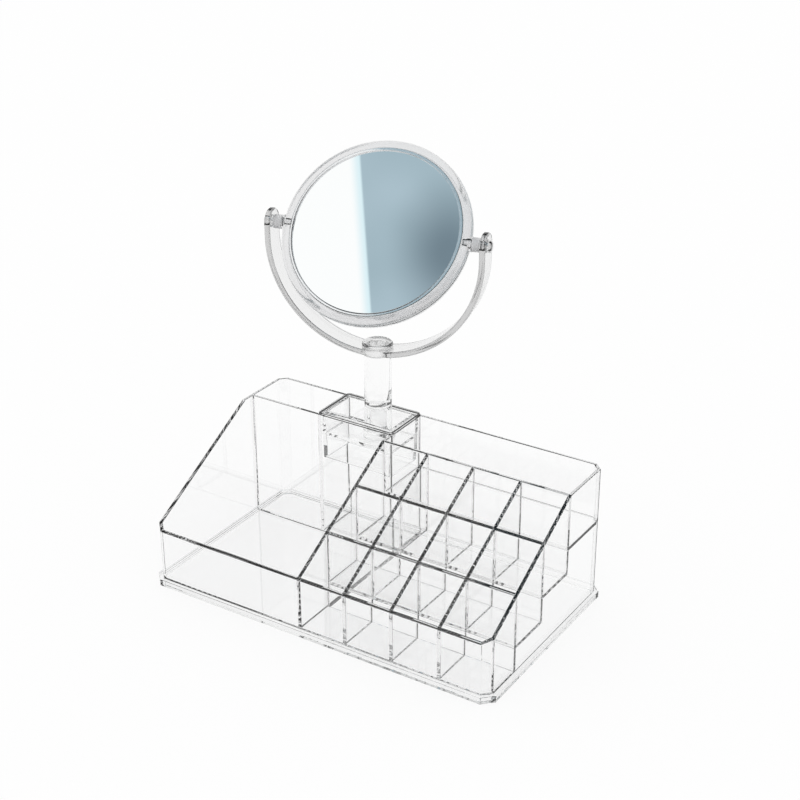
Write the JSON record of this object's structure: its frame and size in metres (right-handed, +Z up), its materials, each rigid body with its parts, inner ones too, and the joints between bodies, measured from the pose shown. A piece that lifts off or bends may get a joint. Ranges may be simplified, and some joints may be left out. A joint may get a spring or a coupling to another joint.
{
  "type": "vanity organizer",
  "caption": "Clear moulded cosmetic tray with stepped lipstick pockets, deep rear cells and a round two-sided mirror that tilts in a yoke and swivels on a post.",
  "frame": {"origin": "middle of the tray's base flange, on the surface that it stands on", "axes": "+Z up, -Y to the front where the tray is low, +X to the right seen from the front"},
  "size_m": [0.2248, 0.1525, 0.2384],
  "materials": {
    "tray_plastic": "clear, polished",
    "stand_plastic": "clear, polished",
    "ring_plastic": "clear, polished",
    "front_glass": "silvered",
    "rear_glass": "silvered",
    "spacer_board": "matte",
    "pin_plastic": "glossy",
    "bush_plastic": "glossy"
  },
  "bodies": {
    "tray": {"organizer_tray": "tray_plastic"},
    "stand": {"mirror_base": "stand_plastic"},
    "stem": {"post": "stand_plastic", "yoke": "stand_plastic"},
    "mirror": {"mirror_frame": "ring_plastic", "rear_bezel": "ring_plastic", "front_mirror": "front_glass", "rear_mirror": "rear_glass", "mirror_spacer": "spacer_board", "left_pivot_pin": "pin_plastic", "right_pivot_pin": "pin_plastic", "left_pivot_bush": "bush_plastic", "right_pivot_bush": "bush_plastic"}
  },
  "joints": [
    {"name": "stand_lift", "type": "slide", "parent": "tray", "child": "stand", "axis": [0, 0, 1], "range_m": [0, 0.08]},
    {"name": "stem_swivel", "type": "hinge", "parent": "stand", "child": "stem", "pos_m": [-0.0296, 0.04835, 0.0901], "axis": [0, 0, 1], "continuous": true},
    {"name": "mirror_tilt", "type": "hinge", "parent": "stem", "child": "mirror", "pos_m": [-0.0296, 0.04835, 0.195], "axis": [0.9744, 0.225, 0], "continuous": true}
  ]
}
